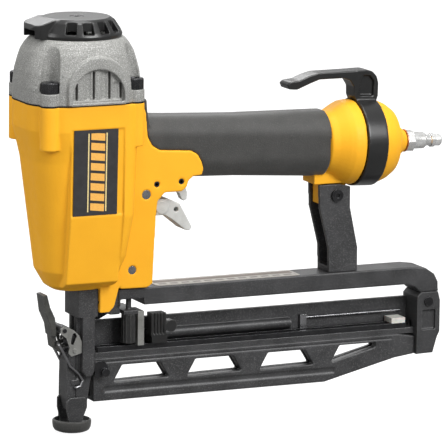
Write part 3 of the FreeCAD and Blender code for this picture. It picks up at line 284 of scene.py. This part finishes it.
def grey_sheet():
    """Grey phosphated sheet."""
    return metal("grey_sheet", dark=(0.15, 0.15, 0.14), light=(0.27, 0.27, 0.255),
                 edge=(0.62, 0.62, 0.60), rough=0.40, grain=0.7, metallic=0.4, depth=0.03)


def dark_sheet():
    """Phosphated spring steel, darker than the grey sheet, with rubbed edges."""
    return metal("dark_sheet", dark=(0.035, 0.035, 0.032), light=(0.085, 0.085, 0.078),
                 edge=(0.45, 0.45, 0.43), rough=0.40, grain=0.7, metallic=0.4, depth=0.03)


def gasket_fibre():
    """Oiled black gasket board."""
    s = Shader("gasket_fibre")
    base = s.blend(s.patches(0.9), (0.004, 0.004, 0.004), (0.012, 0.012, 0.012))
    return s.finish(Base_Color=base, Roughness=0.7, Specular_IOR_Level=0.2,
                    Normal=s.bump(s.noise(0.6, 2), 0.02))


def copper():
    """Dull copper and brass."""
    return metal("copper", dark=(0.42, 0.16, 0.08), light=(0.75, 0.36, 0.20), edge=(0.9, 0.5, 0.3))


def aluminium():
    """Machined aluminium, marked along its height."""
    return metal("aluminium", dark=(0.50, 0.50, 0.51), light=(0.72, 0.72, 0.73), grain=0.5,
                 stretch=(1, 1, 0.1))


def red_rubber():
    """Red moulded rubber, matt."""
    return moulded("red_rubber", dark=(0.20, 0.035, 0.02), colour=(0.28, 0.05, 0.03), grain=0.8,
                   depth=0.05, rough=0.6, wear=0.1)


def pale_nylon():
    """Undyed nylon, very slightly translucent."""
    s = Shader("pale_nylon")
    base = s.blend(s.patches(6.0), (0.52, 0.51, 0.47), (0.66, 0.65, 0.61))
    return s.finish(Base_Color=base, Roughness=0.45, Subsurface_Weight=0.1, Subsurface_Scale=0.002,
                    Normal=s.bump(s.noise(0.8, 3), 0.03, s.soft_normal(0.3)))


# the badge: shares are of its width, and sizes are in mm
BADGE_MARGIN = 2.5
LINE_HALF = 0.45
LINE_AT = (0.33, 0.74)
BARS_FROM, BARS_TO = 0.385, 0.700
BAR_PITCH, BAR_SHARE, BAR_SLANT = 7.2, 0.72, 0.12


def label():
    """A dark film with two fine lines and a column of plain slanted bars, and no lettering."""
    s = Shader("label")
    low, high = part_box("side_badges")
    wide = high[0] - low[0]
    x, z = s.along("x"), s.along("z")
    base = s.blend(s.patches(5.0), (0.020, 0.019, 0.020), (0.030, 0.029, 0.031))
    within = s.inside(z, low[2] + BADGE_MARGIN * MM, high[2] - BADGE_MARGIN * MM)
    lines = 0.0
    for share in LINE_AT:
        middle = low[0] + share * wide
        line = s.inside(x, middle - LINE_HALF * MM, middle + LINE_HALF * MM)
        lines = s.maths("ADD", line, lines)
    slanted = s.maths("ADD", z, s.maths("MULTIPLY", x, BAR_SLANT))
    phase = s.maths("FRACT", s.maths("DIVIDE", slanted, BAR_PITCH * MM), 0.0)
    column = s.inside(x, low[0] + BARS_FROM * wide, low[0] + BARS_TO * wide)
    bars = s.maths("MULTIPLY", s.maths("LESS_THAN", phase, BAR_SHARE), column)
    fleck = s.spread(s.noise(0.8, 3), *PATCH, 0.82, 1.0)
    printed = base
    for shape, ink in ((lines, (0.85, 0.68, 0.30)), (bars, (0.90, 0.46, 0.09))):
        clipped = s.maths("MULTIPLY", shape, within)
        printed = s.blend(s.maths("MULTIPLY", clipped, fleck), printed, ink)
    return s.finish(Base_Color=printed, Roughness=0.36, Coat_Weight=0.2, Coat_Roughness=0.15,
                    Normal=s.bump(s.noise(1.2, 3), 0.01))


# the film on the beam, in mm: places across the beam, and the row of blocks along it
FILM_MARGIN = 2.0
BAND = (-0.8, 6.5)
BLOCK_ROW = (-7.5, -3.0)
BLOCK_PITCH, BLOCK_SHARE = 9.0, 0.7


def beam_film():
    """The silver film on the beam: brushed foil with a dark band and a row of plain blocks."""
    s = Shader("beam_film")
    low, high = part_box("beam_label")
    x, y = s.along("x"), s.along("y")
    brushed = s.spread(s.noise(0.5, 3, 0.6, s.drawn((0.1, 1, 1))), *PATCH)
    foil = s.blend(brushed, (0.30, 0.28, 0.25), (0.44, 0.42, 0.38))
    band = s.inside(y, *(at * MM for at in BAND))
    phase = s.maths("FRACT", s.maths("DIVIDE", x, BLOCK_PITCH * MM), 0.0)
    row = s.inside(y, *(at * MM for at in BLOCK_ROW))
    blocks = s.maths("MULTIPLY", s.maths("LESS_THAN", phase, BLOCK_SHARE), row)
    brown = s.blend(band, foil, (0.11, 0.075, 0.05))
    printed = s.blend(s.maths("MULTIPLY", blocks, 0.8), brown, (0.08, 0.06, 0.045))
    field = s.inside(x, low[0] + FILM_MARGIN * MM, high[0] - FILM_MARGIN * MM)
    return s.finish(Base_Color=s.blend(field, foil, printed), Metallic=0.4, Roughness=0.38,
                    Coat_Weight=0.2, Normal=s.bump(s.noise(0.9, 3), 0.01))


FINISHES = {maker.__name__: maker() for maker in (
    yellow_cast, grey_cast, black_plastic, black_rubber, black_steel, dark_oxide, bright_steel,
    zinc, light_cast, grey_sheet, dark_sheet, gasket_fibre, copper, aluminium, red_rubber,
    pale_nylon, label, beam_film)}

# nodes whose finish isn't their record slot's
OVERRIDES = {
    "beam_label": "beam_film",
    "head_gasket": "gasket_fibre",
    "latch_lever": "dark_sheet",
    "pusher_spring": "black_plastic",
    "wire_bail": "bright_steel",
}


def paint(piece, material):
    """Gives the whole piece one material."""
    piece.data.materials.clear()
    piece.data.materials.append(material)


for name, piece in frame["nodes"].items():
    paint(piece, FINISHES[OVERRIDES.get(name, slot_of[name])])


def stand_for(piece, node):
    """The piece takes the CAD node's place: it joins the node's body, and the node is hidden."""
    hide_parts(node)
    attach(piece, body_of[node])


def linked(name, data):
    """A new object in the scene."""
    made = bpy.data.objects.new(name, data)
    scene.collection.objects.link(made)
    return made


# --- cast, moulded and painted parts: the CAD shape with real edge radii ---

WELD = 0.002 * MM               # CAD faces meet in points closer than this
SMOOTH_FACTOR = 0.5
FACES_KEPT = 0.4                # share of the remeshed faces that thinning leaves


def rounded_copy(node, voxel, passes):
    """The CAD node's own shape with its hard edges worn round, which stands for the node."""
    source = frame["nodes"][node]
    piece = linked(node + "_cast", source.data.copy())
    welded = bmesh.new()
    welded.from_mesh(piece.data)
    bmesh.ops.remove_doubles(welded, verts=welded.verts, dist=WELD)
    welded.to_mesh(piece.data)
    welded.free()
    remesh = piece.modifiers.new("Remesh", "REMESH")
    remesh.mode = "VOXEL"
    remesh.voxel_size = voxel * MM
    smooth = piece.modifiers.new("Smooth", "SMOOTH")
    smooth.factor = SMOOTH_FACTOR
    smooth.iterations = passes
    fewer = piece.modifiers.new("Decimate", "DECIMATE")
    fewer.ratio = FACES_KEPT
    graph = bpy.context.evaluated_depsgraph_get()
    final = bpy.data.meshes.new_from_object(piece.evaluated_get(graph))
    piece.modifiers.clear()
    old = piece.data
    piece.data = final
    bpy.data.meshes.remove(old)
    final.shade_smooth()
    paint(piece, source.data.materials[0])
    stand_for(piece, node)


# node: (voxel in mm, smoothing passes)
ROUNDED = {
    "housing": (0.62, 8),
    "head_cap": (0.50, 5),
    "grip_sleeve": (0.80, 8),
    "end_cap": (0.70, 6),
    "exhaust_deflector": (0.40, 3),
    "belt_hook": (0.50, 14),
    "trigger": (0.35, 5),
    "lock_lever": (0.30, 4),
    "strut": (0.50, 4),
    "beam": (0.55, 4),
    "end_plate": (0.50, 4),
    "magazine": (0.55, 3),
    "nosepiece": (0.45, 3),
    "nose_door": (0.40, 4),
    "latch_lever": (0.30, 5),
    "contact_trip": (0.40, 3),
    "no_mar_pad": (0.40, 4),
    "pusher": (0.40, 3),
}

for name, (voxel, passes) in ROUNDED.items():
    rounded_copy(name, voxel, passes)


# --- knurled cap screws: heads only, as the shanks are out of sight in the castings ---

SCREW_RADIUS = 6.4 * MM
SCREW_HEAD = 8.0 * MM
HALF_KEY = 3.0 * MM             # half the socket's size across flats
SOCKET_DEPTH = 4.0 * MM
RIDGES = 60                     # corners round the knurl, alternately high and low
KNURL = 0.30 * MM
RIM = 0.9 * MM                  # the plain bevel at the top
FOOT = 0.5 * MM                 # the knurl's run-out at the bottom
BREAK = 0.35 * MM               # small broken edges


def knurled_screw(mesh, x, y, top):
    """A socket-head cap screw's head, closed: knurled side, plain rim and a hexagon socket."""
    turns = [2 * math.pi * i / RIDGES for i in range(RIDGES)]
    low = top - SCREW_HEAD

    def round_to(radius):
        return [radius] * RIDGES

    def hexagon(grown=0.0):
        return [HALF_KEY / math.cos((turn % (math.pi / 3)) - math.pi / 6) + grown
                for turn in turns]

    def ring(height, radii):
        return [mesh.verts.new((x + radius * math.cos(turn), y + radius * math.sin(turn), height))
                for radius, turn in zip(radii, turns)]

    knurled = [SCREW_RADIUS - (KNURL if i % 2 else 0.0) for i in range(RIDGES)]
    rings = [
        ring(low, round_to(SCREW_RADIUS - FOOT)),
        ring(low + BREAK, knurled),
        ring(top - RIM, knurled),
        ring(top - 0.3 * RIM, round_to(SCREW_RADIUS - 0.5 * RIM)),
        ring(top, round_to(SCREW_RADIUS - RIM)),
        ring(top, hexagon(BREAK)),
        ring(top - BREAK, hexagon()),
        ring(top - SOCKET_DEPTH, hexagon()),
    ]
    mesh.faces.new(list(reversed(rings[0])))
    mesh.faces.new(rings[-1])
    for lower, upper in zip(rings, rings[1:]):
        for i in range(RIDGES):
            j = (i + 1) % RIDGES
            mesh.faces.new((lower[i], lower[j], upper[j], upper[i]))


def cap_screws():
    """The heads of the four head-cap screws, at the corners of the CAD screws' box."""
    low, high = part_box("cap_screws")
    mesh = bmesh.new()
    for x in (low[0] + SCREW_RADIUS, high[0] - SCREW_RADIUS):
        for y in (low[1] + SCREW_RADIUS, high[1] - SCREW_RADIUS):
            knurled_screw(mesh, x, y, high[2])
    data = bpy.data.meshes.new("knurled_cap_screws")
    mesh.to_mesh(data)
    mesh.free()
    data.shade_flat()
    piece = linked("knurled_cap_screws", data)
    paint(piece, FINISHES["dark_oxide"])
    stand_for(piece, "cap_screws")


cap_screws()


# --- floor, light and camera ---

WHITE = (1.0, 1.0, 1.0, 1.0)
FLOOR_RADIUS = 12.0
FLOOR_DROP = 0.8 * MM           # under the pad
FLOOR_GLOW = 0.92               # makes the floor pale to the camera, and lights nothing
LIGHT_SIZE = 1.0
LIGHT_AIM = Vector((0.11, 0.0, 0.16))

# name: (azimuth, elevation, distance in m, power in W)
LIGHTS = {
    "key": (16, 34, 2.2, 46),
    "left": (-95, 20, 2.4, 17),
    "top": (-20, 86, 2.0, 24),
    "rim": (165, 35, 2.4, 14),
}
EYE_AZIMUTH, EYE_ELEVATION, EYE_ROLL = -24.5, 10.3, 0.64
EYE_DISTANCE = 3.3
EYE_AIM = Vector((114.888, -3.61, 143.076)) * MM
LENS, SENSOR = 368.3, 36.0      # mm
CLIP = (0.1, 60.0)              # m

# the room's brightness from below level to overhead, by the height of the direction looked in
ROOM = (("From Min", -0.6), ("From Max", 0.8), ("To Min", 0.10), ("To Max", 0.75))


def toward(azimuth, elevation):
    """The direction from the tool to a viewer: azimuth from the front, elevation above level."""
    a, e = math.radians(azimuth), math.radians(elevation)
    return Vector((math.sin(a) * math.cos(e), -math.cos(a) * math.cos(e), math.sin(e)))


def look(piece, back, roll=0.0):
    """Turns a lamp or camera to face against the direction back, then rolls it."""
    piece.rotation_mode = "QUATERNION"
    piece.rotation_quaternion = (-back).to_track_quat("-Z", "Y") @ Quaternion((0, 0, 1), roll)


def stage():
    """A plain floor just under the pad. The camera sees it pale, by its glow, with faint shadows.
    Its own grey is dull, so that it doesn't throw light up at the tool."""
    mesh = bmesh.new()
    bmesh.ops.create_circle(mesh, cap_ends=True, segments=48, radius=FLOOR_RADIUS)
    mesh.transform(Matrix.Translation((0, 0, -FLOOR_DROP)))
    data = bpy.data.meshes.new("floor")
    mesh.to_mesh(data)
    mesh.free()
    floor = linked("floor", data)
    s = Shader("floor")
    tone = s.blend(s.noise(400.0, 2), (0.20, 0.20, 0.20), (0.21, 0.21, 0.21))
    seen = s.add("ShaderNodeLightPath").outputs["Is Camera Ray"]
    paint(floor, s.finish(Base_Color=tone, Roughness=0.9, Specular_IOR_Level=0.0,
                          Emission_Color=WHITE,
                          Emission_Strength=s.maths("MULTIPLY", seen, FLOOR_GLOW)))


def area_light(name, azimuth, elevation, distance, power):
    """A square softbox that looks at the tool."""
    light = bpy.data.lights.new(name, "AREA")
    light.size = LIGHT_SIZE
    light.energy = power
    lamp = linked(name, light)
    back = toward(azimuth, elevation)
    lamp.location = LIGHT_AIM + back * distance
    look(lamp, back)


def camera():
    """A long lens, in front and to the left, slightly above."""
    data = bpy.data.cameras.new("camera")
    data.lens = LENS
    data.sensor_width = SENSOR
    data.clip_start, data.clip_end = CLIP
    eye = linked("camera", data)
    back = toward(EYE_AZIMUTH, EYE_ELEVATION)
    eye.location = EYE_AIM + back * EYE_DISTANCE
    look(eye, back, math.radians(EYE_ROLL))
    scene.camera = eye


def sky():
    """White to the camera; to the tool, a room that is bright above and dim below."""
    world = bpy.data.worlds.new("studio")
    world.use_nodes = True
    tree = world.node_tree
    tree.nodes.clear()
    direction = tree.nodes.new("ShaderNodeTexCoord").outputs["Generated"]
    split = tree.nodes.new("ShaderNodeSeparateXYZ")
    tree.links.new(direction, split.inputs[0])
    height = tree.nodes.new("ShaderNodeMapRange")
    for key, value in ROOM:
        height.inputs[key].default_value = value
    tree.links.new(split.outputs["Z"], height.inputs["Value"])
    room = tree.nodes.new("ShaderNodeBackground")
    tree.links.new(height.outputs["Result"], room.inputs["Strength"])
    backdrop = tree.nodes.new("ShaderNodeBackground")
    for background in (room, backdrop):
        background.inputs["Color"].default_value = WHITE
    pick = tree.nodes.new("ShaderNodeMixShader")
    seen = tree.nodes.new("ShaderNodeLightPath").outputs["Is Camera Ray"]
    tree.links.new(seen, pick.inputs[0])
    tree.links.new(room.outputs[0], pick.inputs[1])
    tree.links.new(backdrop.outputs[0], pick.inputs[2])
    shown = tree.nodes.new("ShaderNodeOutputWorld")
    tree.links.new(pick.outputs[0], shown.inputs["Surface"])
    scene.world = world


stage()
sky()
for name, placing in LIGHTS.items():
    area_light(name, *placing)
camera()
scene.view_settings.view_transform = "Standard"
